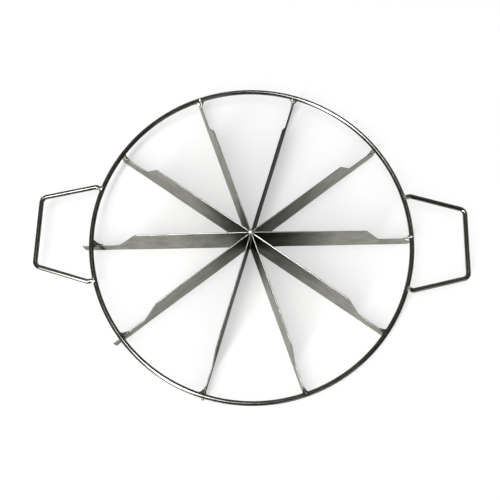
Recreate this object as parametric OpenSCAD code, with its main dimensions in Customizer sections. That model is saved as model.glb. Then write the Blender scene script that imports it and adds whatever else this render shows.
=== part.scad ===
// Cake portion marker in welded stainless steel.
// Ten strip blades stand on edge round a centre pin, a round wire hoop is welded
// across their tongues, and a bent wire handle is welded to the hoop at each side.
// Millimetres, +Z up. The origin is on the pin's axis at the plane that the blades
// rest on, and +X runs along the first blade.

/* [Hoop] */
// Outside diameter of the hoop
hoop_od = 280; // [260:1:320]
// Thickness of the hoop's round wire
hoop_wire = 4; // [3:0.1:6]
// How far the hoop's centre lies from the pin, along the first blade
hoop_shift_x = 1.6; // [-3:0.1:3]
// How far the hoop's centre lies from the pin, across the first blade
hoop_shift_y = 1.3; // [-3:0.1:3]

/* [Blades] */
// Height of a blade at the pin
hub_height = 50; // [40:0.5:60]
// Height of a blade at the crest of its shoulder
crest_height = 46; // [36:0.5:56]
// Thickness of the blade strip
strip_t = 1; // [0.8:0.1:1.4]
// Distance from the pin's axis to the crest of the shoulder
crest_at = 96; // [80:0.5:102]
// Distance from the pin's axis to the foot of the shoulder
foot_at = 111; // [108:0.5:120]
// Height of the tongue that carries the hoop
tongue_height = 17; // [10:0.5:24]
// Rounding at the crest of the shoulder
crest_r = 3; // [1:0.5:6]
// Rounding at the foot of the shoulder
foot_r = 4; // [1:0.5:8]
// Rounding of the tongue's lower outer corner
tip_r = 2.5; // [0.5:0.5:5]
// How far most tongues run past the middle of the hoop wire
tip_short = 1.5; // [0.5:0.1:3]
// How far the bottom left tongue runs past the middle of the hoop wire
tip_middle = 3.4; // [1:0.1:8]
// How far the two left tongues run past the middle of the hoop wire
tip_long = 8.3; // [2:0.1:12]

/* [Centre pin] */
// Diameter of the pin that the blades are welded to
pin_d = 5; // [4.5:0.1:8]
// Diameter of the weld cap on top of the pin
cap_d = 6.4; // [6:0.1:10]
// Height of the weld cap above the blades
cap_h = 1.6; // [0.8:0.1:3]

/* [Handles] */
// Thickness of the handles' round wire
handle_wire = 4; // [3:0.1:5]
// Distance from the middle of the hoop wire to the middle of the right grip
right_reach = 47.6; // [36:0.1:70]
// Distance from the middle of the hoop wire to the middle of the left grip
left_reach = 45.8; // [36:0.1:70]
// Length of the grip between the middles of its two bends
grip_length = 60.3; // [40:0.1:76]
// Distance between the two feet of a handle at the hoop
handle_span = 84; // [78:0.5:110]
// Length of the straight stub that stands square on the hoop
stub = 4; // [3:0.5:8]
// Bend radius at the grip, to the middle of the wire
grip_bend_r = 5.5; // [4:0.5:12]
// Bend radius where the stub turns into the leg, to the middle of the wire
stub_bend_r = 4; // [3:0.5:8]
// Turn of the right handle about the hoop's centre from the first blade's line, in degrees
right_turn = -2.2; // [-6:0.1:6]
// Turn of the left handle about the hoop's centre from the first blade's line, in degrees
left_turn = -3.5; // [-6:0.1:6]

/* [Welds] */
// Length of a tongue's weld along the tongue
weld_run = 6; // [3:0.1:9]
// Width of a tongue's weld along the hoop, on each side of the tongue
weld_side = 3.6; // [2:0.1:5]
// Depth of a tongue's weld below the tongue's top edge
weld_drop = 1.2; // [0.5:0.1:3]
// Spread of a handle's weld collar beyond the handle's wire
collar_side = 1; // [0.5:0.1:2]
// Height of a handle's weld collar above the hoop wire
collar_h = 1.6; // [0.8:0.1:2.5]
// Clearance between the hoop wire and what is coped to lie against it
cope_gap = 0.05; // [0.02:0.01:0.2]

/* [Hidden] */
// Degrees between one segment of a rounding and the next
arc_step = 12;
// Segments round the section of a wire, a multiple of four
wire_fn = 20;
// Segments round the hoop
hoop_fn = 90;
// Segments round the pin and its cap
pin_fn = 24;

// Middle line of the hoop wire
hoop_r = (hoop_od - hoop_wire) / 2;
hoop_z = tongue_height + hoop_wire / 2;
hoop_centre = [hoop_shift_x, hoop_shift_y];

// One length for each blade, anticlockwise from +X as seen from above
tips = [
    for (k = [0:9]) (k == 5 || k == 6) ? tip_long : k == 7 ? tip_middle : tip_short
];
blade_step = 360 / len(tips);

function unit(v) = v / norm(v);

// Signed turn in degrees from the direction a-b to the direction b-c
function turn(a, b, c) =
    let (u = b - a, v = c - b) atan2(u.x * v.y - u.y * v.x, u * v);

// Length that a bend of radius r takes from each of its two straights
function setback(a, b, c, r) = r * tan(abs(turn(a, b, c)) / 2);

// Centre of the bend of radius r that is tangent to a-b and b-c
function bend_centre(a, b, c, r) =
    let (
        u = unit(b - a),
        start = b - u * setback(a, b, c, r),
        side = sign(turn(a, b, c))
    )
    start + side * r * [-u.y, u.x];

// Points of the corner b between a and c, rounded to radius r
function rounded(a, b, c, r) =
    let (
        angle = turn(a, b, c),
        u = unit(b - a),
        centre = bend_centre(a, b, c, r),
        first = -sign(angle) * r * [-u.y, u.x],
        steps = ceil(abs(angle) / arc_step)
    )
    [
        for (i = [0:steps])
            let (t = angle * i / steps)
            centre + [first.x * cos(t) - first.y * sin(t), first.x * sin(t) + first.y * cos(t)]
    ];

// Distance along blade k from the pin's axis to the middle of the hoop wire
function crossing(k) =
    let (
        along = [cos(k * blade_step), sin(k * blade_step)] * hoop_centre,
        off_sq = hoop_centre * hoop_centre - along * along
    )
    along + sqrt(hoop_r * hoop_r - off_sq);

// Side view of blade k: x runs out from the pin's axis and y is height
function blade_outline(k) =
    let (
        root = pin_d / 2,
        tip = crossing(k) + tips[k],
        low_root = [root, 0],
        low_tip = [tip, 0],
        high_tip = [tip, tongue_height],
        foot = [foot_at, tongue_height],
        crest = [crest_at, crest_height],
        high_root = [root, hub_height]
    )
    concat(
        [low_root],
        rounded(low_root, low_tip, high_tip, tip_r),
        [high_tip],
        rounded(high_tip, foot, crest, foot_r),
        rounded(foot, crest, high_root, crest_r),
        [high_root]
    );

// Blade k where it stands
module blade(k) {
    rotate([0, 0, k * blade_step])
        rotate([90, 0, 0])
            translate([0, 0, -strip_t / 2])
                linear_extrude(height = strip_t)
                    polygon(blade_outline(k));
}

// Corner points of a handle's middle line, in the plane of the hoop, on the +X side
function handle_path(reach) =
    let (
        stub_r = hoop_r + hoop_wire / 2 + stub,
        out = [cos(foot_angle()), sin(foot_angle())],
        grip_x = hoop_r + reach
    )
    [
        hoop_r * [out.x, -out.y],
        stub_r * [out.x, -out.y],
        [grip_x, -grip_length / 2],
        [grip_x, grip_length / 2],
        stub_r * out,
        hoop_r * out
    ];

// A handle's middle line with its four bends rounded
function handle_line(reach) =
    let (path = handle_path(reach), radii = [stub_bend_r, grip_bend_r, grip_bend_r, stub_bend_r])
    concat(
        [path[0]],
        [
            for (i = [1:4])
                each rounded(path[i - 1], path[i], path[i + 1], radii[i - 1])
        ],
        [path[5]]
    );

// Section of round wire at p, in the plane that halves the bend between headings u and v
function section(p, u, v, d) =
    let (
        across = unit([-u.y - v.y, u.x + v.x]),
        stretch = 1 / (across * [-u.y, u.x])
    )
    [
        for (j = [0:wire_fn - 1])
            let (side = across * stretch * cos(360 * j / wire_fn) * d / 2)
            [p.x + side.x, p.y + side.y, sin(360 * j / wire_fn) * d / 2]
    ];

// End of round wire with heading u, hollowed to lie against a hoop wire that passes through p.
// The rest of the wire lies ahead of p where way is 1, and behind it where way is -1.
// The hollow is straight across the wire, so points at one height share one distance from p.
function coped_end(p, u, d, way) =
    [
        for (j = [0:wire_fn - 1])
            let (
                side = cos(360 * j / wire_fn) * d / 2,
                rise = sin(360 * j / wire_fn) * d / 2,
                seat = hoop_wire / 2 + cope_gap,
                reach = way * sqrt(max(0, seat * seat - rise * rise))
            )
            [p.x + u.x * reach - u.y * side, p.y + u.y * reach + u.x * side, rise]
    ];

// Faces that close a coped end, as strips between points j and j + 1 on one side of the ring
// and their opposites at the same heights. The ring starts at point base.
function cope_faces(base) =
    let (n = wire_fn, quarter = n / 4)
    [
        for (j = [-quarter:quarter - 1])
            let (
                near_low = (j + n) % n,
                near_high = (j + 1 + n) % n,
                far_high = (n / 2 - j - 1) % n,
                far_low = (n / 2 - j) % n
            )
            concat(
                [base + near_low, base + near_high],
                far_high == near_high ? [] : [base + far_high],
                far_low == near_low ? [] : [base + far_low]
            )
    ];

// The same faces seen from the other side
function flipped(faces) =
    [for (face = faces) [for (i = [len(face) - 1:-1:0]) face[i]]];

// Round wire along the points of a line, with both ends coped to the hoop
module coped_wire(line, d) {
    last = len(line) - 1;
    headings = [for (i = [1:last]) unit(line[i] - line[i - 1])];
    rings = concat(
        [coped_end(line[0], headings[0], d, 1)],
        [for (i = [1:last - 1]) section(line[i], headings[i - 1], headings[i], d)],
        [coped_end(line[last], headings[last - 1], d, -1)]
    );
    n = wire_fn;
    walls = [
        for (i = [0:last - 1], j = [0:n - 1])
            let (k = (j + 1) % n)
            [i * n + j, i * n + k, (i + 1) * n + k, (i + 1) * n + j]
    ];
    polyhedron(
        [for (ring = rings) each ring],
        concat(walls, flipped(cope_faces(0)), cope_faces(last * n))
    );
}

// Puts what is drawn about the hoop's centre on the plane z = 0 in its place
module on_hoop(angle) {
    translate([hoop_centre.x, hoop_centre.y, hoop_z])
        rotate([0, 0, angle])
            children();
}

// How far the inner side of the hoop bows inward over a distance along it
function bow(distance) = distance * distance / (2 * hoop_r - hoop_wire);

// The hollow that the hoop wire needs at [hoop_r, 0, 0], over a distance to each side,
// where the hoop is turned by skew degrees from square
module cope(distance, skew = 0) {
    translate([hoop_r, 0, 0])
        rotate([90, 0, skew])
            cylinder(
                d = hoop_wire + 2 * (cope_gap + bow(distance)),
                h = 4 * distance,
                center = true,
                $fn = wire_fn
            );
}

// Angle of a handle's foot from the handle's own axis, seen from the hoop's centre
function foot_angle() = asin(handle_span / 2 / (hoop_r + hoop_wire / 2 + stub));

// A handle about the hoop's centre
module handle(angle, reach) {
    on_hoop(angle) coped_wire(handle_line(reach), handle_wire);
}

// Plan of the weld on the left side of a tongue, which widens to the hoop in a hollow curve
function weld_plan() =
    let (wire_edge = hoop_r - hoop_wire / 2, steps = 6)
    concat(
        [
            for (i = [0:steps])
                let (s = i / steps)
                [wire_edge - weld_run * (1 - s), strip_t / 2 + weld_side * s * s]
        ],
        [[hoop_r, strip_t / 2 + weld_side], [hoop_r, strip_t / 2]]
    );

// Degrees by which blade k meets the hoop out of square, because the hoop lies off centre
function skew(k) =
    let (angle = k * blade_step)
    asin((sin(angle) * hoop_centre.x - cos(angle) * hoop_centre.y) / hoop_r);

// The welds in the two corners between tongue k and the hoop wire
module tongue_weld(k) {
    bottom = tongue_height - weld_drop;
    top = hoop_z + hoop_wire / 8;
    rotate([0, 0, k * blade_step])
        translate([crossing(k) - hoop_r, 0, 0])
            difference() {
                for (side = [0, 1])
                    mirror([0, side, 0])
                        translate([0, 0, bottom])
                            linear_extrude(height = top - bottom)
                                polygon(weld_plan());
                translate([0, 0, hoop_z])
                    cope(strip_t / 2 + weld_side, skew(k));
            }
}

// The weld collar round the foot of a handle that stands on the +X side of the hoop
module collar() {
    difference() {
        translate([hoop_r, 0, 0])
            rotate([0, 90, 0])
                cylinder(
                    d1 = handle_wire + 4 * collar_side,
                    d2 = handle_wire + collar_side / 2,
                    h = hoop_wire / 2 + collar_h,
                    $fn = wire_fn
                );
        translate([hoop_r, 0, 0])
            rotate([0, 90, 0])
                cylinder(d = handle_wire, h = handle_wire + collar_h, $fn = wire_fn);
        cope(handle_wire);
    }
}

// The round wire bent into a ring
module hoop() {
    color("silver")
        translate([hoop_centre.x, hoop_centre.y, hoop_z])
            rotate_extrude($fn = hoop_fn)
                translate([hoop_r, 0])
                    circle(d = hoop_wire, $fn = wire_fn);
}

// The pin stands full height between the blades' roots, under a domed weld cap
module centre_pin() {
    dome_r = (cap_h * cap_h + cap_d * cap_d / 4) / (2 * cap_h);
    color("gainsboro") {
        cylinder(d = pin_d, h = hub_height, $fn = pin_fn);
        intersection() {
            translate([0, 0, hub_height + cap_h - dome_r])
                sphere(r = dome_r, $fn = 2 * pin_fn);
            translate([0, 0, hub_height])
                cylinder(d = cap_d, h = cap_h, $fn = pin_fn);
        }
    }
}

module handle_right() {
    color("silver") handle(right_turn, right_reach);
}

module handle_left() {
    color("silver") handle(180 + left_turn, left_reach);
}

module hoop_welds() {
    color("gray")
        for (k = [0:len(tips) - 1])
            tongue_weld(k);
}

module handle_welds() {
    color("gray")
        for (angle = [right_turn, 180 + left_turn])
            for (side = [-1, 1])
                on_hoop(angle)
                    rotate([0, 0, side * foot_angle()])
                        collar();
}

module blade_01() { color("lightsteelblue") blade(0); }
module blade_02() { color("lightsteelblue") blade(1); }
module blade_03() { color("lightsteelblue") blade(2); }
module blade_04() { color("lightsteelblue") blade(3); }
module blade_05() { color("lightsteelblue") blade(4); }
module blade_06() { color("lightsteelblue") blade(5); }
module blade_07() { color("lightsteelblue") blade(6); }
module blade_08() { color("lightsteelblue") blade(7); }
module blade_09() { color("lightsteelblue") blade(8); }
module blade_10() { color("lightsteelblue") blade(9); }

hoop();
centre_pin();
handle_right();
handle_left();
hoop_welds();
handle_welds();
blade_01();
blade_02();
blade_03();
blade_04();
blade_05();
blade_06();
blade_07();
blade_08();
blade_09();
blade_10();
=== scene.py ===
"""Cake portion marker in welded stainless steel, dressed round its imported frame.

A drawn wire hoop and two bent wire handles, ten satin strip blades on edge, and the
weld metal that joins them. Metres, +Z up, with the origin on the centre pin's axis at
the plane that the blades rest on. Sizes are written in millimetres and turned to
metres where a mesh is made.
"""

import logging
import math
from dataclasses import dataclass, field
from enum import Enum
from typing import ClassVar

import bpy
import numpy as np
from mathutils import Matrix, Vector

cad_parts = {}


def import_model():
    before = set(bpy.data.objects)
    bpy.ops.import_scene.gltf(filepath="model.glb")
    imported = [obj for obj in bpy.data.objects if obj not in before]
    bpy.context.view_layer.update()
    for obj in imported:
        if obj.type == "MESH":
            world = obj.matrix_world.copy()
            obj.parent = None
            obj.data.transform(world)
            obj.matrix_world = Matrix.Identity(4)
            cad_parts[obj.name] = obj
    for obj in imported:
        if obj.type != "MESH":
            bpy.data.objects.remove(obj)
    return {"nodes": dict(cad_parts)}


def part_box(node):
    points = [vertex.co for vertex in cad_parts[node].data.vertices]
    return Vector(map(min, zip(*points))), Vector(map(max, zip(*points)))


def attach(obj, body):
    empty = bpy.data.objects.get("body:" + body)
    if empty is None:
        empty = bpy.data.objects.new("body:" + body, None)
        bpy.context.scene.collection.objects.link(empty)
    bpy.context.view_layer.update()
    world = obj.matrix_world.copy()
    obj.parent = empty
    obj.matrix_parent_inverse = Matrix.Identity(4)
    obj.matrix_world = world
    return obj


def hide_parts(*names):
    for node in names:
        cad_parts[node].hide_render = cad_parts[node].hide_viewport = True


LOG = logging.getLogger("portion_marker")
MM = 0.001
BODY = "root"
BLADE_COUNT = 10
SEED = 1256


class Mark(Enum):
    """Names of the values that a mesh carries at its points, for its finish to read."""

    HEAT = "weld_tint"
    EDGE = "edge"
    # Painted shade: near black that darkens the blades near the hub, a few dim blades and the tongue
    # welds
    PAINTED_SHADE = "painted_shade"


def linear_colour(sheet_hex: str) -> tuple[float, float, float, float]:
    """Turns an sRGB hex colour to linear light.

    Args:
        sheet_hex: Six hex digits, such as "8a8f88".

    Returns:
        Red, green and blue in linear light, and an alpha of 1.
    """
    coded = np.array([int(sheet_hex[i : i + 2], 16) for i in (0, 2, 4)]) / 255
    light = np.where(coded <= 0.04045, coded / 12.92, ((coded + 0.055) / 1.055) ** 2.4)
    return (*light.tolist(), 1.0)


def smooth_step(value: np.ndarray, low: float, high: float) -> np.ndarray:
    """Rises from 0 at low to 1 at high as 3s^2 - 2s^3, where s is the share of the way.

    Args:
        value: Values to map.
        low: Value that maps to 0. It may be the larger of the two.
        high: Value that maps to 1.

    Returns:
        Shares from 0 to 1.
    """
    share = np.clip((value - low) / (high - low), 0, 1)
    return share * share * (3 - 2 * share)


def rounded_line(corners: np.ndarray, radii: list[float], step_deg: float = 4) -> np.ndarray:
    """Rounds the inner corners of a flat line to arcs.

    The arc at a corner is tangent to both straights. It starts r tan(a/2) before the
    corner, where a is the turn, and its centre lies r to the side of the turn.

    Args:
        corners: Points (n, 2) of the line.
        radii: One radius for each corner but the first and the last.
        step_deg: Largest turn between two points of an arc.

    Returns:
        Points (m, 2) of the rounded line.
    """
    parts = [corners[:1]]
    for before, corner, after, radius in zip(corners, corners[1:], corners[2:], radii):
        heading = (corner - before) / np.linalg.norm(corner - before)
        leaving = (after - corner) / np.linalg.norm(after - corner)
        turn = math.atan2(heading[0] * leaving[1] - heading[1] * leaving[0], heading @ leaving)
        side = math.copysign(1, turn) * np.array([-heading[1], heading[0]])
        start = corner - heading * radius * math.tan(abs(turn) / 2)
        count = max(2, math.ceil(abs(math.degrees(turn)) / step_deg))
        swing = np.linspace(0, abs(turn), count + 1)[:, None]
        parts.append(start + side * radius * (1 - np.cos(swing)) + heading * radius * np.sin(swing))
    parts.append(corners[-1:])
    return np.concatenate(parts)


def respaced(line: np.ndarray, spacing: float) -> np.ndarray:
    """Places points at even steps of length along a line, by linear interpolation.

    Args:
        line: Points (n, 2).
        spacing: Wanted distance between points, in the line's unit.

    Returns:
        Points (m, 2) from the line's first point to its last.
    """
    run = np.concatenate([[0], np.cumsum(np.linalg.norm(np.diff(line, axis=0), axis=1))])
    even = np.linspace(0, run[-1], max(2, round(run[-1] / spacing)))
    return np.stack([np.interp(even, run, line[:, axis]) for axis in range(2)], axis=1)


def unevenness(points: np.ndarray, scale: float, seed: int, waves: int = 9) -> np.ndarray:
    """Gives a smooth random height at points, as a sum of sine waves in random directions.

    Each wave is sin(k.p + phase), where k has a random direction and a length between
    0.6 and 1.8 times 2 pi over the scale. The sum is divided by the root of the count.

    Args:
        points: Points (..., 3).
        scale: Typical distance between two bumps, in the points' unit.
        seed: Seed of the random directions and phases.
        waves: Count of sine waves.

    Returns:
        Heights (...), mostly between -1 and 1.
    """
    random = np.random.default_rng(seed)
    vectors = random.normal(size=(waves, 3))
    vectors /= np.linalg.norm(vectors, axis=1, keepdims=True)
    vectors *= 2 * np.pi / scale * random.uniform(0.6, 1.8, size=(waves, 1))
    phases = random.uniform(0, 2 * np.pi, size=waves)
    return np.sin(points @ vectors.T + phases).sum(axis=-1) / math.sqrt(waves)


def turned(points: np.ndarray, angle: float) -> np.ndarray:
    """Turns points about the upright axis through the origin, anticlockwise seen from above.

    Args:
        points: Points (..., 3).
        angle: Turn in radians.

    Returns:
        The points at (x cos a - y sin a, x sin a + y cos a, z).
    """
    matrix = np.array([[math.cos(angle), math.sin(angle)], [-math.sin(angle), math.cos(angle)]])
    return np.concatenate([points[..., :2] @ matrix, points[..., 2:]], axis=-1)


@dataclass
class Skin:
    """A surface as a grid of points, rows along it and columns round it, in millimetres.

    The columns close on themselves. The rows close too where ring is true, and
    otherwise a flat face closes the first row and the last.
    """

    points: np.ndarray
    ring: bool = False
    marks: dict[Mark, np.ndarray] = field(default_factory=dict)

    def corner_grid(self) -> tuple[np.ndarray, np.ndarray]:
        """Gives the row and column of each quad's four corners, unwrapped, as (quads, 4)."""
        rows, columns = self.points.shape[:2]
        row, column = np.meshgrid(
            np.arange(rows if self.ring else rows - 1), np.arange(columns), indexing="ij"
        )
        row, column = row.ravel()[:, None], column.ravel()[:, None]
        return row + np.array([0, 1, 1, 0]), column + np.array([0, 0, 1, 1])

    def lengths(self) -> tuple[np.ndarray, np.ndarray]:
        """Gives each row's length along the skin and each column's length round it, in metres.

        A row's length is the sum of the mean steps between rows, and a column's is the
        sum of the steps round the middle row. Both have one entry more than the grid.
        """
        wrapped = np.concatenate([self.points, self.points[:1]])
        along = np.linalg.norm(np.diff(wrapped, axis=0), axis=2).mean(axis=1)
        middle = self.points[len(self.points) // 2]
        around = np.linalg.norm(np.roll(middle, -1, axis=0) - middle, axis=1)
        return (
            np.concatenate([[0], np.cumsum(along)]) * MM,
            np.concatenate([[0], np.cumsum(around)]) * MM,
        )


def mesh_from_skins(name: str, skins: list[Skin]) -> bpy.types.Object:
    """Makes one object of one or more skins, with a UV map in metres and their marks.

    A quad's corners are found from its row and column, each taken round the end where
    the grid closes. U is the length along a skin and V the length round it.

    Args:
        name: Name of the object and its mesh.
        skins: The surfaces, each facing outwards.

    Returns:
        The linked object, at the origin.
    """
    vertices, faces, sizes, lengths = [], [], [], []
    marks: dict[Mark, list[np.ndarray]] = {mark: [] for mark in Mark}
    base = 0
    for skin in skins:
        rows, columns = skin.points.shape[:2]
        row, column = skin.corner_grid()
        along, around = skin.lengths()
        faces.append((base + row % rows * columns + column % columns).ravel())
        sizes.append(np.full(len(row), 4))
        lengths.append(np.stack([along[row], around[column]], axis=-1).reshape(-1, 2))
        if not skin.ring:
            ends = np.arange(columns)
            faces += [base + ends, base + (rows - 1) * columns + ends[::-1]]
            sizes.append(np.array([columns, columns]))
            lengths.append(np.zeros((2 * columns, 2)))
        vertices.append(skin.points.reshape(-1, 3) * MM)
        for mark in Mark:
            given = skin.marks.get(mark, np.zeros((rows, columns)))
            marks[mark].append(np.broadcast_to(given, (rows, columns)).ravel())
        base += rows * columns
    counts = np.concatenate(sizes)
    mesh = bpy.data.meshes.new(name)
    mesh.vertices.add(base)
    mesh.vertices.foreach_set("co", np.concatenate(vertices).astype(np.float32).ravel())
    mesh.loops.add(int(counts.sum()))
    mesh.loops.foreach_set("vertex_index", np.concatenate(faces).astype(np.int32))
    mesh.polygons.add(len(counts))
    starts = np.concatenate([[0], np.cumsum(counts)[:-1]])
    mesh.polygons.foreach_set("loop_start", starts.astype(np.int32))
    mesh.polygons.foreach_set("use_smooth", counts == 4)
    mesh.update(calc_edges=True)
    mesh.uv_layers.new(name="length")
    mesh.uv_layers["length"].data.foreach_set(
        "uv", np.concatenate(lengths).astype(np.float32).ravel()
    )
    for mark, values in marks.items():
        layer = mesh.attributes.new(mark.value, "FLOAT", "POINT")
        layer.data.foreach_set("value", np.concatenate(values).astype(np.float32))
    mesh.validate()
    piece = bpy.data.objects.new(name, mesh)
    bpy.context.scene.collection.objects.link(piece)
    return piece


class NodeSheet:
    """The node tree of one material or world."""

    def __init__(self, tree: bpy.types.NodeTree) -> None:
        """Starts from an emptied tree."""
        self.tree = tree
        tree.nodes.clear()

    def add(self, kind: str, settings: dict | None = None, links: dict | None = None) -> bpy.types.Node:
        """Adds a node.

        Args:
            kind: Blender's name of the node type.
            settings: Values by name, for inputs or for properties of the node.
            links: Output sockets by the name or number of the input that each feeds.

        Returns:
            The new node.
        """
        node = self.tree.nodes.new(kind)
        for name, value in (settings or {}).items():
            if isinstance(name, str) and hasattr(node, name):
                setattr(node, name, value)
            else:
                node.inputs[name].default_value = value
        for name, socket in (links or {}).items():
            self.tree.links.new(socket, node.inputs[name])
        return node


@dataclass(frozen=True)
class SteelFinish:
    """Stainless steel with its grain, its mottling and the tint that welding left on it.

    The grain runs along the piece's length, as fine bump and as a small change of
    roughness. Real grain is far finer than a pixel, so it is drawn as coarse as it must
    be to show. Mottling is the uneven grey of a surface that has been handled and washed,
    and the noise between the two values of mottle_range goes from one grey to the other.
    Heat tint near a weld multiplies the steel's colour. It starts at the first of the
    tint_stops, is straw and brown at the other two and blue at 1, and the mottling noise
    makes its border ragged by tint_spread and tint_shift. The last colour field, near
    black, is painted shade: it darkens the strips near the hub, where the blades shade
    each other, and the whole of a few dim blades, and the tongue welds as much as they
    are tinted. The edge fields are for sheared edges, whose lighter colour near the hub
    is partly a painted highlight, and grazing_colour tints what is reflected at a slant.
    """

    name: str
    colour: str
    mottle_colour: str
    edge_colour: str
    grazing_colour: str
    roughness: float
    roughness_spread: float
    edge_roughness: float
    grain_mm: float
    grain_length_mm: float
    grain_depth: float
    mottle_mm: float
    anisotropy: float
    mottle_range: tuple[float, float] = (0.38, 0.66)
    sheen_range: tuple[float, float] = (0.7, 1.3)
    grain_height_mm: float = 0.02
    tint_spread: float = 0.35
    tint_shift: float = -0.17
    tint_stops: tuple[float, float, float] = (0.30, 0.55, 0.78)
    straw: str = "dcd8ce"
    brown: str = "b8b4ae"
    blue: str = "9fa2ab"
    # Colour of the painted shade: near black, standing in for the shade near the hub and on dim blades
    painted_shade: str = "1e1e20"

    def material(self) -> bpy.types.Material:
        """Builds the node material of this finish."""
        made = bpy.data.materials.new(self.name)
        made.use_nodes = True
        sheet = NodeSheet(made.node_tree)
        marks = {
            mark: sheet.add("ShaderNodeAttribute", {"attribute_name": mark.value}).outputs["Fac"]
            for mark in Mark
        }
        place = sheet.add("ShaderNodeTexCoord")
        mottle = sheet.add(
            "ShaderNodeTexNoise",
            {"Scale": 1 / (self.mottle_mm * MM), "Detail": 5.0, "Roughness": 0.62},
            {"Vector": place.outputs["Object"]},
        )
        patches = sheet.add(
            "ShaderNodeMapRange",
            {"From Min": self.mottle_range[0], "From Max": self.mottle_range[1]},
            {"Value": mottle.outputs["Fac"]},
        )
        steel = sheet.add(
            "ShaderNodeMix",
            {"data_type": "RGBA", 6: linear_colour(self.colour), 7: linear_colour(self.mottle_colour)},
            {"Factor": patches.outputs["Result"]},
        )
        sheared = sheet.add(
            "ShaderNodeMix",
            {"data_type": "RGBA", 7: linear_colour(self.edge_colour)},
            {"Factor": marks[Mark.EDGE], 6: steel.outputs[2]},
        )
        ragged = sheet.add(
            "ShaderNodeMath",
            {"operation": "MULTIPLY_ADD", 1: self.tint_spread, 2: self.tint_shift},
            {0: mottle.outputs["Fac"]},
        )
        warmed = sheet.add(
            "ShaderNodeMath",
            {"operation": "ADD", "use_clamp": True},
            {0: marks[Mark.HEAT], 1: ragged.outputs["Value"]},
        )
        tint = sheet.add("ShaderNodeValToRGB", {}, {"Fac": warmed.outputs["Value"]})
        clean_at, straw_at, brown_at = self.tint_stops
        stops = tint.color_ramp.elements
        stops[0].position, stops[0].color = clean_at, (1, 1, 1, 1)
        stops[1].position, stops[1].color = 1.0, linear_colour(self.blue)
        stops.new(straw_at).color = linear_colour(self.straw)
        stops.new(brown_at).color = linear_colour(self.brown)
        tinted = sheet.add(
            "ShaderNodeMix",
            {"data_type": "RGBA", "blend_type": "MULTIPLY", "Factor": 1.0},
            {6: sheared.outputs[2], 7: tint.outputs["Color"]},
        )
        grazing = sheet.add(
            "ShaderNodeMix",
            {
                "data_type": "RGBA",
                "blend_type": "MULTIPLY",
                "Factor": 1.0,
                6: linear_colour(self.grazing_colour),
            },
            {7: tint.outputs["Color"]},
        )
        # Painted shade: this mark mixes near black into the colour and into the grazing tint
        facing_shaded, grazing_shaded = (
            sheet.add(
                "ShaderNodeMix",
                {"data_type": "RGBA", 7: linear_colour(self.painted_shade)},
                {"Factor": marks[Mark.PAINTED_SHADE], 6: bare.outputs[2]},
            ).outputs[2]
            for bare in (tinted, grazing)
        )
        length = sheet.add("ShaderNodeUVMap", {"uv_map": "length"})
        stretched = sheet.add(
            "ShaderNodeMapping",
            {"Scale": (1 / (self.grain_length_mm * MM), 1 / (self.grain_mm * MM), 1.0)},
            {"Vector": length.outputs["UV"]},
        )
        grain = sheet.add(
            "ShaderNodeTexNoise",
            {"Scale": 1.0, "Detail": 3.0, "Roughness": 0.6},
            {"Vector": stretched.outputs["Vector"]},
        )
        sheen = sheet.add(
            "ShaderNodeMath",
            {"operation": "ADD"},
            {0: grain.outputs["Fac"], 1: mottle.outputs["Fac"]},
        )
        rough = sheet.add(
            "ShaderNodeMapRange",
            {
                "From Min": self.sheen_range[0],
                "From Max": self.sheen_range[1],
                "To Min": self.roughness - self.roughness_spread,
                "To Max": self.roughness + self.roughness_spread,
            },
            {"Value": sheen.outputs["Value"]},
        )
        edge_rough = sheet.add(
            "ShaderNodeMix",
            {"data_type": "FLOAT", 3: self.edge_roughness},
            {"Factor": marks[Mark.EDGE], 2: rough.outputs["Result"]},
        )
        relief = sheet.add(
            "ShaderNodeBump",
            {"Strength": self.grain_depth, "Distance": self.grain_height_mm * MM},
            {"Height": grain.outputs["Fac"]},
        )
        along = sheet.add("ShaderNodeTangent", {"direction_type": "UV_MAP", "uv_map": "length"})
        metal = sheet.add(
            "ShaderNodeBsdfPrincipled",
            {"Metallic": 1.0, "Anisotropic": self.anisotropy},
            {
                "Base Color": facing_shaded,
                "Specular Tint": grazing_shaded,
                "Roughness": edge_rough.outputs[0],
                "Normal": relief.outputs["Normal"],
                "Tangent": along.outputs["Tangent"],
            },
        )
        sheet.add("ShaderNodeOutputMaterial", {}, {"Surface": metal.outputs["BSDF"]})
        return made


# Bright drawn round wire: a fine line along its length, smooth enough for sharp streaks of light
DRAWN_WIRE = SteelFinish(
    name="stainless_wire_bright_drawn",
    colour="7b7b79",
    mottle_colour="676764",
    edge_colour="7b7b79",
    grazing_colour="565654",
    roughness=0.12,
    roughness_spread=0.03,
    edge_roughness=0.2,
    grain_mm=0.5,
    grain_length_mm=25,
    grain_depth=0.25,
    mottle_mm=9,
    anisotropy=0.3,
)

# Satin cold-rolled strip, 2B: a soft grey that blurs what it reflects, with bright sheared edges that
# are partly a painted highlight near the hub
SATIN_STRIP = SteelFinish(
    name="stainless_strip_satin_rolled",
    colour="afaea7",
    mottle_colour="92918b",
    edge_colour="b2b2ae",
    grazing_colour="c4c5c1",
    roughness=0.36,
    roughness_spread=0.06,
    edge_roughness=0.34,
    grain_mm=0.7,
    grain_length_mm=30,
    grain_depth=0.3,
    mottle_mm=14,
    anisotropy=0.45,
)

# Weld metal as it set, scrubbed: rippled, brighter than the wire where clean, dark where the painted
# shade lies
WELD_METAL = SteelFinish(
    name="stainless_weld_metal_scrubbed",
    colour="d8d8d4",
    mottle_colour="a2a099",
    edge_colour="d4d4ce",
    grazing_colour="a0a0a0",
    roughness=0.3,
    roughness_spread=0.08,
    edge_roughness=0.3,
    grain_mm=0.9,
    grain_length_mm=1.2,
    grain_depth=0.6,
    mottle_mm=2.5,
    anisotropy=0.0,
)


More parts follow.
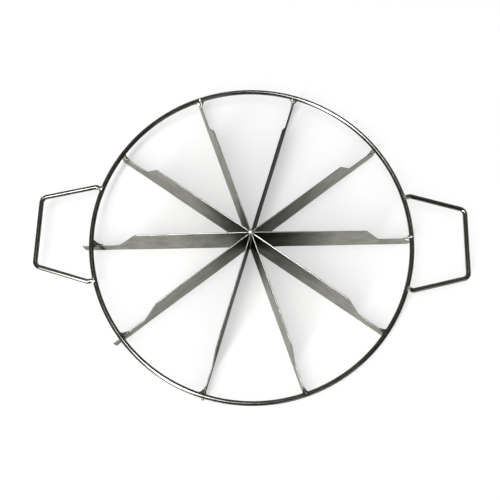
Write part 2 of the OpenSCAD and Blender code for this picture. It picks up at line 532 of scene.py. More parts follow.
def dress(
    piece: bpy.types.Object, finish: bpy.types.Material, nodes: list[str]
) -> bpy.types.Object:
    """Gives a piece its finish and says what it stands for.

    Args:
        piece: The new object.
        finish: Material of the whole piece.
        nodes: Frame nodes that the piece replaces.

    Returns:
        The same object.
    """
    piece.data.materials.append(finish)
    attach(piece, BODY)
    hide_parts(*nodes)
    triangles = sum(len(face.vertices) - 2 for face in piece.data.polygons)
    LOG.info("%s: %d triangles for %s", piece.name, triangles, ", ".join(nodes))
    return piece


@dataclass(frozen=True)
class Plan:
    """Where the marker's pieces lie in plan, in millimetres, with the pin's axis at the origin."""

    hoop_r: float
    hoop_z: float
    wire_r: float
    hoop_x: float
    hoop_y: float

    @staticmethod
    def from_frame() -> "Plan":
        """Reads the hoop's radius, place and wire from the box of its node."""
        low, high = (np.array(corner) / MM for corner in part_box("hoop"))
        middle, wire_r = (low + high) / 2, (high[2] - low[2]) / 2
        return Plan(
            hoop_r=(high[0] - low[0]) / 2 - wire_r,
            hoop_z=middle[2],
            wire_r=wire_r,
            hoop_x=middle[0],
            hoop_y=middle[1],
        )

    def hoop_middle(self) -> np.ndarray:
        """Gives the middle point of the ring that the hoop wire runs round."""
        return np.array([self.hoop_x, self.hoop_y, self.hoop_z])

    def crossing(self, angle: np.ndarray) -> np.ndarray:
        """Gives the distance from the pin to the hoop wire's middle, at angles in radians.

        A line from the pin meets the hoop's circle at a + sqrt(R^2 - c^2 + a^2), where
        c is the vector to the hoop's centre and a its share along the line.
        """
        along = np.cos(angle) * self.hoop_x + np.sin(angle) * self.hoop_y
        return along + np.sqrt(self.hoop_r**2 - self.hoop_x**2 - self.hoop_y**2 + along**2)

    def blade_angles(self) -> np.ndarray:
        """Gives the blades' directions in radians, anticlockwise from +X."""
        return np.arange(BLADE_COUNT) * 2 * np.pi / BLADE_COUNT


def swept_wire(line: np.ndarray, wire_r: float, height: float, sides: int, ring: bool) -> Skin:
    """Carries a circle along a flat line.

    The point at angle q round the wire is the line's point, plus r cos q across the
    line in its plane, plus r sin q upwards. The heading comes from central differences.

    Args:
        line: Points (n, 2) of the wire's middle, in millimetres.
        wire_r: Radius of the wire.
        height: Height of the line above the resting plane.
        sides: Points round the wire.
        ring: Whether the line closes on itself.

    Returns:
        The wire's skin.
    """
    if ring:
        heading = np.roll(line, -1, axis=0) - np.roll(line, 1, axis=0)
    else:
        heading = np.gradient(line, axis=0)
    heading /= np.linalg.norm(heading, axis=1, keepdims=True)
    across = np.stack([heading[:, 1], -heading[:, 0]], axis=1)
    angle = np.linspace(0, 2 * np.pi, sides, endpoint=False) - np.pi / 2
    flat = line[:, None] + wire_r * across[:, None] * np.cos(angle)[None, :, None]
    rise = np.broadcast_to(height + wire_r * np.sin(angle), flat.shape[:2])
    return Skin(np.concatenate([flat, rise[..., None]], axis=2), ring)


@dataclass
class Hoop:
    """The round wire ring that lies on the blades' tongues."""

    plan: Plan
    rows: int = 1080
    sides: int = 28
    heat: float = 0.5
    heat_reach: float = 9.0

    def build(self, finish: bpy.types.Material) -> bpy.types.Object:
        """Makes the ring, with heat tint where each blade is welded to it.

        Args:
            finish: Material of the wire.

        Returns:
            The ring's object.
        """
        angle = np.linspace(0, 2 * np.pi, self.rows, endpoint=False)
        centre = self.plan.hoop_middle()[:2]
        line = centre + self.plan.hoop_r * np.stack([np.cos(angle), np.sin(angle)], axis=1)
        skin = swept_wire(line, self.plan.wire_r, self.plan.hoop_z, self.sides, True)
        spokes = self.plan.blade_angles()
        feet = self.plan.crossing(spokes)[:, None] * np.stack([np.cos(spokes), np.sin(spokes)], axis=1)
        gap = np.linalg.norm(line[:, None] - feet[None], axis=2).min(axis=1)
        skin.marks[Mark.HEAT] = smooth_step(gap, self.heat_reach, 0)[:, None] * self.heat
        piece = mesh_from_skins("hoop_wire", [skin])
        return dress(piece, finish, ["hoop"])


@dataclass
class Handle:
    """A bent wire handle: a grip, two splayed legs and two short stubs square on the hoop."""

    plan: Plan
    side: str
    turn_deg: float
    reach: float
    wire_r: float = 1.99
    grip_length: float = 60.3
    span: float = 84.0
    stub: float = 4.0
    grip_bend_r: float = 5.5
    stub_bend_r: float = 4.0
    spacing: float = 0.8
    sides: int = 28
    bury: float = 0.3
    hoop_margin: float = 0.1
    heat: float = 0.45
    heat_reach: float = 8.0

    def middle_line(self) -> np.ndarray:
        """Gives the points of the wire's middle about the hoop's centre, grip towards +X."""
        stub_r = self.plan.hoop_r + self.plan.wire_r + self.stub
        foot = math.asin(self.span / 2 / stub_r)
        out = np.array([math.cos(foot), math.sin(foot)])
        grip_x = self.plan.hoop_r + self.reach
        half = np.array([self.plan.hoop_r * out, stub_r * out, [grip_x, self.grip_length / 2]])
        corners = np.concatenate([half * [1, -1], half[::-1]])
        bends = [self.stub_bend_r, self.grip_bend_r, self.grip_bend_r, self.stub_bend_r]
        return respaced(rounded_line(corners, bends), self.spacing)

    def build(self, finish: bpy.types.Material) -> bpy.types.Object:
        """Makes the handle, with its ends hollowed to the hoop and tinted by its welds.

        An end's points move along the wire to sqrt(S^2 - z^2) from the hoop wire's
        middle, where S is that wire's radius less the depth that the end is buried in
        it, and z the height above that middle. Points nearer the hoop wire than the
        margin are dropped, but for the two ends.

        Args:
            finish: Material of the wire.

        Returns:
            The handle's object.
        """
        line = self.middle_line()
        skin = swept_wire(line, self.wire_r, 0, self.sides, False)
        seat = self.plan.wire_r - self.bury
        hollow = np.sqrt(np.maximum(seat**2 - skin.points[0, :, 2] ** 2, 0))
        for end, inner in ((0, 1), (-1, -2)):
            heading = (line[inner] - line[end]) / np.linalg.norm(line[inner] - line[end])
            skin.points[end, :, :2] += heading * hollow[:, None]
        outside = self.plan.hoop_r + self.plan.wire_r
        kept = np.linalg.norm(line, axis=1) > outside + self.hoop_margin
        kept[[0, -1]] = True
        skin.points = skin.points[kept]
        distance = np.linalg.norm(line[kept], axis=1) - outside
        skin.marks[Mark.HEAT] = smooth_step(distance, self.heat_reach, 0)[:, None] * self.heat
        skin.points = turned(skin.points, math.radians(self.turn_deg)) + self.plan.hoop_middle()
        node = f"handle_{self.side}"
        piece = mesh_from_skins(f"{node}_wire", [skin])
        return dress(piece, finish, [node])


@dataclass(frozen=True)
class BladeTintAndShade:
    """The heat tint that welding left on one blade, and the painted shade on it.

    Near-black painted shade, standing in for the shade where the blades crowd together
    at the hub and for the dim faces of a few blades, covers the near share of the strip
    at the hub and the far share from its reach in millimetres on. The edge share of it
    is off the strip's edges, which so stay lighter. The tint of the band across the
    tongue goes from 0 for none to 1 for blue.
    """

    painted_shade_reach: float
    painted_shade_near: float
    painted_shade_far: float
    edge_unshaded: float
    tongue_tint: float


@dataclass
class Blade:
    """A strip blade on edge, with a sloped shoulder and a narrow tongue under the hoop.

    station_counts are the sections drawn along the face, the shoulder, the tongue and the
    tip's rounded corner. The sheared edges are fully bright up to half of bright_edge from
    the pin and not past bright_edge; their lighter colour there is partly their own finish
    and partly a painted highlight. The tint's band has its middle band_at from the hoop
    wire's middle, on the pin's side, and reaches band_half to either side of that.
    """

    number: int
    angle: float
    root: float
    tip: float
    weld_at: float
    height: float
    tint: BladeTintAndShade
    crest_height: float = 46.0
    tongue_height: float = 17.0
    crest_at: float = 96.0
    foot_at: float = 111.0
    crest_r: float = 3.0
    foot_r: float = 4.0
    tip_r: float = 2.5
    thickness: float = 1.0
    edge_r: float = 0.45
    edge_steps: int = 6
    edge_band: float = 0.9
    face_steps: int = 12
    end_bevel: float = 0.16
    end_height_share: float = 0.98
    bend_margin: float = 6.0
    station_counts: tuple[int, int, int, int] = (60, 70, 24, 14)
    bow: float = 0.1
    bow_scale: float = 90.0
    bow_fade: float = 25.0
    band_at: float = 7.5
    band_half: float = 4.5
    bright_edge: float = 80.0

    def stations(self) -> np.ndarray:
        """Gives the distances from the pin at which the section is drawn, closer at the bends."""
        face, shoulder, tongue, corner = self.station_counts
        shoulder_from, shoulder_to = self.crest_at - self.bend_margin, self.foot_at + self.bend_margin
        square = self.tip - self.tip_r
        swing = np.sin(np.linspace(0, np.pi / 2, corner))
        return np.concatenate([
            np.linspace(self.root, shoulder_from, face, endpoint=False),
            np.linspace(shoulder_from, shoulder_to, shoulder, endpoint=False),
            np.linspace(shoulder_to, square, tongue, endpoint=False),
            square + (self.tip_r - self.end_bevel) * swing,
        ])

    def heights(self, distance: np.ndarray) -> tuple[np.ndarray, np.ndarray]:
        """Gives the bottom and the top edge's height at distances from the pin.

        The top is the rounded line through the root, crest, foot and tip. The bottom is
        flat, and near the tip it is a quarter circle, r - sqrt(r^2 - d^2), where d is
        the distance past the start of the rounding.
        """
        corners = np.array([
            [self.root, self.height],
            [self.crest_at, self.crest_height],
            [self.foot_at, self.tongue_height],
            [self.tip + self.tip_r, self.tongue_height],
        ])
        outline = rounded_line(corners, [self.crest_r, self.foot_r])
        past = np.clip(distance - (self.tip - self.tip_r), 0, self.tip_r)
        low = self.tip_r - np.sqrt(self.tip_r**2 - past**2)
        return low, np.interp(distance, outline[:, 0], outline[:, 1])

    def section(self) -> tuple[np.ndarray, np.ndarray, np.ndarray, np.ndarray]:
        """Gives the section's points as a side step, a share of the height, a rise and an edge mark.

        The section goes up one face, over the top edge, down the other face and under
        the bottom edge. At an angle q the rounded edge lies b (1 - cos q) in from the
        face and b (1 - sin q) from the strip's end, where b is the edge's radius.
        """
        half, bend = self.thickness / 2, self.edge_r
        swing = np.linspace(0, np.pi / 2, self.edge_steps)
        edge_side = half - bend * (1 - np.cos(swing))
        edge_rise = bend * (np.sin(swing) - 1)
        edge_mark = (swing > 0).astype(float)
        face = np.linspace(0, 1, self.face_steps)
        band = np.zeros(self.face_steps)
        band[[0, -1]] = self.edge_band, -self.edge_band
        side = np.concatenate([np.full(self.face_steps, half), edge_side])
        share = np.concatenate([face, np.ones(self.edge_steps)])
        rise = np.concatenate([band, edge_rise])
        mark = np.concatenate([np.zeros(self.face_steps), edge_mark])
        return (
            np.concatenate([side, -side[::-1], -edge_side, edge_side[::-1]]),
            np.concatenate([share, share[::-1], np.zeros(2 * self.edge_steps)]),
            np.concatenate([rise, rise[::-1], -edge_rise, -edge_rise[::-1]]),
            np.concatenate([mark, mark[::-1], edge_mark, edge_mark[::-1]]),
        )

    def skin(self) -> Skin:
        """Makes the blade's surface, turned to its direction.

        At a station x the section's point is (x, side, low + share (high - low) + rise).
        The last row is drawn in by the edge's rounding, and the faces bow by a slow wave.
        """
        distance = self.stations()
        low, high = self.heights(distance)
        side, share, rise, mark = self.section()
        along = np.broadcast_to(distance[:, None], (len(distance), len(side)))
        up = low[:, None] + share * (high - low)[:, None] + rise
        points = np.stack([along, np.broadcast_to(side, along.shape), up], axis=2)
        end = points[-1].copy()
        middle = np.array([0, 0, (low[-1] + high[-1]) / 2])
        drawn_in = [1, 1 - 2 * self.end_bevel / self.thickness, self.end_height_share]
        end = middle + (end - middle) * drawn_in
        end[:, 0] = self.tip
        points = np.concatenate([points, end[None]])
        fade = smooth_step(points[..., 0], self.root, self.root + self.bow_fade)
        fade = fade * smooth_step(points[..., 0], self.tip, self.tip - self.bow_fade)
        points[..., 1] += self.bow * fade * unevenness(points, self.bow_scale, SEED + self.number)
        marks = {
            # Sheared edges, lighter near the hub: partly their own finish, partly a painted highlight
            Mark.EDGE: mark * smooth_step(points[..., 0], self.bright_edge, self.bright_edge / 2),
            Mark.HEAT: self.heat(points),
            # Painted shade near the hub and along the dim blades, kept partly off the edges so they stay
            # lighter
            Mark.PAINTED_SHADE: self.painted_shade(points) * (1 - self.tint.edge_unshaded * mark),
        }
        return Skin(turned(points, self.angle), marks=marks)

    def heat(self, points: np.ndarray) -> np.ndarray:
        """Gives the weld's tint, a band across the tongue on the pin's side of the hoop wire."""
        away = np.abs(self.weld_at - points[..., 0] - self.band_at)
        return smooth_step(away, self.band_half, 0) * self.tint.tongue_tint

    def painted_shade(self, points: np.ndarray) -> np.ndarray:
        """Gives the painted shade's cover, which falls from a quarter of its reach to its reach."""
        tint = self.tint
        near = smooth_step(points[..., 0], tint.painted_shade_reach, tint.painted_shade_reach / 4)
        return tint.painted_shade_far + (tint.painted_shade_near - tint.painted_shade_far) * near

    def build(self, finish: bpy.types.Material) -> bpy.types.Object:
        """Makes the blade's object.

        Args:
            finish: Material of the strip.

        Returns:
            The blade's object.
        """
        piece = mesh_from_skins(f"strip_blade_{self.number:02d}", [self.skin()])
        return dress(piece, finish, [f"blade_{self.number:02d}"])


@dataclass
class BladeStar:
    """The ten blades round the pin, each as long as its node's box says."""

    plan: Plan
    root: float
    # One row for each blade from 0 degrees on: painted shade reach, near, far, edge unshaded, tongue
    # tint
    tints: tuple[BladeTintAndShade, ...] = (
        BladeTintAndShade(80, 0.62, 0.0, 0.95, 0.4),
        BladeTintAndShade(100, 0.46, 0.06, 0.6, 0.4),
        BladeTintAndShade(60, 0.92, 0.78, 0.0, 0.3),
        BladeTintAndShade(38, 0.60, 0.0, 0.5, 0.1),
        BladeTintAndShade(64, 0.50, 0.0, 0.8, 0.2),
        BladeTintAndShade(75, 0.18, 0.0, 0.7, 0.9),
        BladeTintAndShade(60, 0.40, 0.14, 0.95, 0.45),
        BladeTintAndShade(60, 0.88, 0.60, 0.8, 0.3),
        BladeTintAndShade(46, 0.85, 0.0, 0.95, 0.4),
        BladeTintAndShade(90, 0.36, 0.0, 1.0, 0.2),
    )

    def tip_of(self, node: str, angle: float) -> float:
        """Gives a blade's length from the pin, from the far corner of its node's mesh."""
        mesh = bpy.data.objects[node].data
        flat = np.zeros(len(mesh.vertices) * 3, np.float32)
        mesh.vertices.foreach_get("co", flat)
        points = flat.reshape(-1, 3)[:, :2] / MM
        return float((points @ [math.cos(angle), math.sin(angle)]).max())

    def build(self, finish: bpy.types.Material) -> list[Blade]:
        """Makes all blades.

        Args:
            finish: Material of the strip.

        Returns:
            The blades, in order of angle.
        """
        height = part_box("blade_01")[1].z / MM
        blades = []
        for index, angle in enumerate(self.plan.blade_angles()):
            tip = self.tip_of(f"blade_{index + 1:02d}", angle)
            weld_at = float(self.plan.crossing(angle))
            tint = self.tints[index]
            blade = Blade(index + 1, float(angle), self.root, tip, weld_at, height, tint)
            blade.build(finish)
            blades.append(blade)
        return blades


@dataclass(frozen=True)
class TongueWeld:
    """How one tongue is welded: left and right are as seen from the pin.

    The two fillets have shares of the full spread and one share of the full run. The
    tint is their heat tint at the end nearer the pin, with the same amount of near-black
    painted shade, standing in for the shade in the corners by the hoop wire; about two
    thirds of both is left at the wire. The number bead is the half-length and half-width
    in millimetres of a bead on the wire, which lies bead_at millimetres to the left.
    0 stands for no bead.
    """

    left: float
    right: float
    run: float
    tint: float
    bead: float = 0.0
    bead_at: float = 0.0


@dataclass
class TongueWelds:
    """The two fillets at each tongue, in the corners between the strip and the hoop wire.

    A fillet starts at first_share of its run, toe millimetres wide, and overlaps the
    strip. Its top lies the lift above the tongue at first and climbs from there by
    wire_share of the wire's radius. It ends wire_reach radii short of the wire's middle,
    seen from above. The bump scales are those sideways, upwards and on the bead.
    """

    plan: Plan
    run: float = 6.0
    side: float = 3.6
    drop: float = 1.2
    strip_half: float = 0.5
    rows: int = 22
    columns: int = 24
    flat_columns: int = 6
    first_share: float = 0.04
    roundness: float = 0.8
    toe: float = 0.25
    overlap: float = 0.2
    lift: float = 0.15
    climb: float = 1.6
    wire_share: float = 0.95
    wire_reach: float = 0.55
    toe_drop: float = 0.35
    tint_lost: float = 0.35
    roughness_mm: float = 0.13
    bump_scales: tuple[float, float, float] = (2.2, 1.7, 1.5)
    pole_gap: float = 0.06
    bead_height: float = 0.55
    bead_turn_deg: float = 30.0
    # One row for each blade from 0 degrees on: left, right, run, tint
    welds: tuple[TongueWeld, ...] = (
        TongueWeld(0.9, 0.7, 1.0, 0.2, bead=1.3, bead_at=1.0),
        TongueWeld(0.5, 0.4, 1.2, 0.6),
        TongueWeld(0.95, 0.8, 1.4, 0.5, bead=0.9, bead_at=1.2),
        TongueWeld(1.1, 1.1, 1.1, 0.2, bead=1.4, bead_at=-1.0),
        TongueWeld(0.4, 0.55, 1.3, 0.7),
        TongueWeld(0.45, 1.3, 1.4, 0.95),
        TongueWeld(0.9, 1.15, 1.2, 0.6),
        TongueWeld(0.5, 1.35, 1.2, 0.75),
        TongueWeld(0.7, 0.5, 1.0, 0.95, bead=0.6, bead_at=0.2),
        TongueWeld(0.75, 0.5, 1.0, 0.95),
    )

    def fillet(self, angle: float, crossing: float, hand: int, weld: TongueWeld, seed: int) -> Skin:
        """Makes one fillet.

        At a share s along the tongue its rounded section spreads the toe and side s^2
        from the strip. At the wire it reaches from the drop below the tongue's edge to
        about the height of the wire's middle.

        Args:
            angle: Direction of the blade in radians.
            crossing: Distance from the pin to the middle of the hoop wire.
            hand: 1 for the left of the strip as seen from the pin, -1 for its right.
            weld: The weld's size and tint.
            seed: Seed of its unevenness.

        Returns:
            The fillet's skin.
        """
        share = np.linspace(self.first_share, 1, self.rows)[:, None]
        turn = np.linspace(-np.pi / 2, np.pi / 2, self.columns - self.flat_columns)
        outer = np.cos(turn) ** self.roundness
        outline_y = np.concatenate([outer, np.zeros(self.flat_columns)])
        down = np.linspace(1, -1, self.flat_columns + 2)[1:-1]
        outline_z = np.concatenate([np.sin(turn), down])
        size = weld.left if hand > 0 else weld.right
        spread = self.side * size * share**2 + self.toe
        tongue = self.plan.hoop_z - self.plan.wire_r
        top = tongue + self.lift + (self.plan.wire_r * self.wire_share) * share**self.climb
        bottom = tongue - self.drop * (self.toe_drop + (1 - self.toe_drop) * share)
        edge = crossing - self.plan.wire_r * self.wire_reach
        along = edge - self.run * weld.run * (1 - share) + np.zeros_like(outline_y)
        across = self.strip_half - self.overlap + (spread + self.overlap) * outline_y
        up = (top + bottom) / 2 + (top - bottom) / 2 * outline_z
        points = np.stack([along, hand * across, up], axis=2)
        if hand > 0:
            points = points[:, ::-1]
        sideways, upwards, _ = self.bump_scales
        bumps = unevenness(points, sideways, seed)
        points[..., 1] += hand * self.roughness_mm * bumps * (points[..., 1] * hand > self.strip_half)
        points[..., 2] += self.roughness_mm * unevenness(points, upwards, seed + 1)
        heat = np.broadcast_to(weld.tint * (1 - self.tint_lost * share), points.shape[:2])
        # The heat tint also sets the painted shade, near black, in the corners between strip and wire
        return Skin(turned(points, angle), marks={Mark.HEAT: heat, Mark.PAINTED_SHADE: heat})

    def bead(self, angle: float, crossing: float, weld: TongueWeld, seed: int) -> Skin:
        """Makes the bead of weld metal that lies on the wire's inner shoulder.

        It is an ellipsoid with its middle on the wire's surface. At an angle u from its
        inner pole its section is an ellipse scaled by sin u.

        Args:
            angle: Direction of the blade in radians.
            crossing: Distance from the pin to the middle of the hoop wire.
            weld: The weld, with its bead's half-width and place.
            seed: Seed of its unevenness.

        Returns:
            The bead's skin.
        """
        polar = np.linspace(self.pole_gap, np.pi - self.pole_gap, self.rows)[:, None]
        turn = np.linspace(0, 2 * np.pi, self.columns, endpoint=False)
        lean = math.radians(self.bead_turn_deg)
        middle = crossing - self.plan.wire_r * math.sin(lean)
        along = middle - weld.bead * np.cos(polar) + 0 * turn
        across = weld.bead_at - weld.bead * np.sin(polar) * np.cos(turn)
        rise = self.bead_height * np.sin(polar) * np.sin(turn)
        slope = (along - middle) * math.sin(lean)
        up = self.plan.hoop_z + self.plan.wire_r * math.cos(lean) + rise + slope
        points = np.stack([along, across, up], axis=2)
        bumps = unevenness(points, self.bump_scales[2], seed)
        points += self.roughness_mm * bumps[..., None] * np.sin(polar)[..., None]
        return Skin(turned(points, angle))

    def build(self, finish: bpy.types.Material) -> bpy.types.Object:
        """Makes all fillets and beads as one object, each with its own size.

        Args:
            finish: Material of the weld metal.

        Returns:
            The welds' object.
        """
        angles = self.plan.blade_angles().tolist()
        crossings = self.plan.crossing(self.plan.blade_angles()).tolist()
        skins = []
        for index, (angle, crossing, weld) in enumerate(zip(angles, crossings, self.welds)):
            seed = SEED + 40 * index
            skins += [self.fillet(angle, crossing, hand, weld, seed + hand) for hand in (1, -1)]
            if weld.bead:
                skins.append(self.bead(angle, crossing, weld, seed))
        piece = mesh_from_skins("tongue_weld_fillets", skins)
        return dress(piece, finish, ["hoop_welds"])


@dataclass
class FootWelds:
    """The weld collars round the four feet of the handles."""

    plan: Plan
    turns_deg: tuple[float, float]
    wire_r: float = 2.0
    span: float = 84.0
    stub: float = 4.0
    flare: float = 1.1
    height: float = 1.7
    tuck: float = 0.05
    bury: float = 0.15
    wire_share: float = 0.97
    bump_scale: float = 2.0
    heat: float = 0.4
    rows: int = 16
    columns: int = 40
    roughness_mm: float = 0.1

    def collar(self, angle: float, seed: int) -> Skin:
        """Makes one collar about the hoop's centre.

        At a share s of the way out its radius is the wire's less the tuck, plus the flare
        times (1 - s)^2, and no part is higher on the hoop wire than wire_share of that
        wire's radius. At the hoop its edge lies sqrt(S^2 - z^2) from the hoop wire's
        middle, where S is that radius less the depth that the collar is buried, and z
        the height on the wire.

        Args:
            angle: Direction of the foot from the hoop's centre, in radians.
            seed: Seed of its unevenness.

        Returns:
            The collar's skin.
        """
        share = np.linspace(0, 1, self.rows)[:, None]
        turn = np.linspace(0, 2 * np.pi, self.columns, endpoint=False)
        radius = self.wire_r - self.tuck + self.flare * (1 - share) ** 2 + 0 * turn
        across, rise = radius * np.cos(turn), radius * np.sin(turn)
        highest = self.plan.wire_r * self.wire_share
        rise = np.clip(rise, -highest, highest)
        seat = np.sqrt(np.maximum((self.plan.wire_r - self.bury) ** 2 - rise**2, 0))
        top = self.plan.wire_r + self.height
        out = seat * (1 - share) + top * share
        points = np.stack([self.plan.hoop_r + out, across, rise], axis=2)
        bumps = self.roughness_mm * unevenness(points, self.bump_scale, seed) * (1 - share)
        points[..., 1] += bumps * np.cos(turn)
        points[..., 2] += bumps * np.sin(turn)
        placed = turned(points, angle) + self.plan.hoop_middle()
        return Skin(placed, marks={Mark.HEAT: self.heat * share + 0 * turn})

    def build(self, finish: bpy.types.Material) -> bpy.types.Object:
        """Makes the four collars as one object.

        Args:
            finish: Material of the weld metal.

        Returns:
            The collars' object.
        """
        foot = math.asin(self.span / 2 / (self.plan.hoop_r + self.plan.wire_r + self.stub))
        skins = []
        for turn_deg in self.turns_deg:
            for hand in (-1, 1):
                angle = math.radians(turn_deg) + hand * foot
                skins.append(self.collar(angle, SEED + round(turn_deg * 10) + hand))
        piece = mesh_from_skins("handle_weld_collars", skins)
        return dress(piece, finish, ["handle_welds"])


@dataclass
class HubWeld:
    """The centre pin under the puddle of weld metal that ties the blades' roots together.

    Depths are measured down from the blades' top, and the dome starts at the tuck. Its
    crown lies crown_gap below the highest point of the cap, which no bump passes.
    """

    cap_r: float
    top: float
    shoulder: float
    pin_r: float = 2.5
    rows: int = 30
    columns: int = 64
    neck_depths: tuple[float, float] = (1.6, 0.8)
    tuck: float = 0.25
    crown_gap: float = 0.05
    lobe_depth: float = 0.5
    melt_depth: float = 1.5
    crown_share: float = 0.01
    bump_scale: float = 2.4
    bump_inward: float = 0.6
    smooth_r: float = 0.3
    rim_shares: tuple[float, float] = (0.45, 0.8)
    puddle_share: float = 0.74
    flatness: float = 2.4
    lobe: float = 0.24
    lobe_deg: float = 150.0
    ripple: float = 0.12
    heat: float = 0.5

    @staticmethod
    def from_frame() -> "HubWeld":
        """Reads the cap's sizes from the box of its node, and the blades' top from a blade's."""
        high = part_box("centre_pin")[1]
        return HubWeld(cap_r=high.x / MM, top=high.z / MM, shoulder=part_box("blade_01")[1].z / MM)

    def build(self, finish: bpy.types.Material) -> bpy.types.Object:
        """Makes the pin and its cap as one turned skin.

        The outline goes up the pin, out under the cap and over its dome. The cap is
        longer one way: its radius is multiplied by 1 + e cos 2(q - q0), and kept within
        the cap's own circle. At a share s of its radius the dome's height is that of
        its top times (1 - s^n)^(1/2), which is flatter on top than a ball for n over 2.

        Args:
            finish: Material of the weld metal.

        Returns:
            The hub's object.
        """
        reach = np.linspace(1, self.crown_share, self.rows)
        rise = self.top - self.shoulder + (self.tuck - self.crown_gap)
        pin = [0, self.shoulder / 2, *(self.shoulder - depth for depth in self.neck_depths)]
        dome = self.shoulder - self.tuck + rise * (1 - reach**self.flatness) ** (1 / 2)
        radius = np.concatenate([[self.pin_r] * len(pin), self.puddle_share * self.cap_r * reach])
        height = np.concatenate([pin, dome])
        turn = np.linspace(0, 2 * np.pi, self.columns, endpoint=False)
        lobe = 1 + self.lobe * np.cos(2 * (turn - math.radians(self.lobe_deg)))
        stretch = np.where(height[:, None] > self.shoulder - self.lobe_depth, lobe, 1)
        wide = np.minimum(radius[:, None] * stretch, self.cap_r)
        points = np.stack(
            [wide * np.cos(turn), wide * np.sin(turn), height[:, None] + 0 * turn], axis=2
        )
        melt = smooth_step(points[..., 2], self.shoulder - self.melt_depth, self.shoulder)
        waves = unevenness(points, self.bump_scale, SEED + 7)
        bumps = self.ripple * melt * waves * (wide > self.smooth_r)
        points[..., :2] *= 1 + np.minimum(bumps, 0)[..., None] * self.bump_inward
        points[..., 2] = np.minimum(points[..., 2] + bumps, self.top)
        rim_from, rim_to = (self.cap_r * rim_share for rim_share in self.rim_shares)
        rim = smooth_step(radius, rim_from, rim_to)[:, None] + 0 * turn
        piece = mesh_from_skins("hub_weld_pin", [Skin(points, marks={Mark.HEAT: self.heat * rim})])
        return dress(piece, finish, ["centre_pin"])


@dataclass(frozen=True)
class SoftBox:
    """A soft lamp with a straight-edged face, aimed at the marker.

    Its direction is given from the middle of the marker, as an angle round from +X and
    a height above the horizon. Its length runs along the compass line long_deg, seen
    from above. Its brightness is that of its face, where 1 is white. Shiny or matt
    surfaces can be kept from seeing it.
    """

    name: str
    round_deg: float
    height_deg: float
    distance: float
    width: float
    length: float
    long_deg: float
    brightness: float
    shows_in_metal: bool = True
    shows_on_matt: bool = True
    WATTS_PER_AREA: ClassVar[float] = 4.0

    def build(self) -> None:
        """Makes the lamp and turns its face to the marker.

        A face of brightness 1 gives 4 watts for each square metre, in Blender's terms.
        """
        lamp = bpy.data.lights.new(self.name, "AREA")
        lamp.shape = "RECTANGLE"
        lamp.size, lamp.size_y = self.width, self.length
        lamp.energy = self.WATTS_PER_AREA * self.width * self.length * self.brightness
        holder = bpy.data.objects.new(self.name, lamp)
        bpy.context.scene.collection.objects.link(holder)
        turn, rise = math.radians(self.round_deg), math.radians(self.height_deg)
        long = math.radians(self.long_deg)
        back = Vector((math.cos(rise) * math.cos(turn), math.cos(rise) * math.sin(turn), math.sin(rise)))
        side = Vector((math.cos(long), math.sin(long), 0)).cross(back).normalized()
        holder.location = back * self.distance
        holder.rotation_euler = Matrix((side, back.cross(side), back)).transposed().to_euler()
        holder.visible_glossy = self.shows_in_metal
        holder.visible_diffuse = self.shows_on_matt
        LOG.info("lamp %s: %.1f W", self.name, lamp.energy)


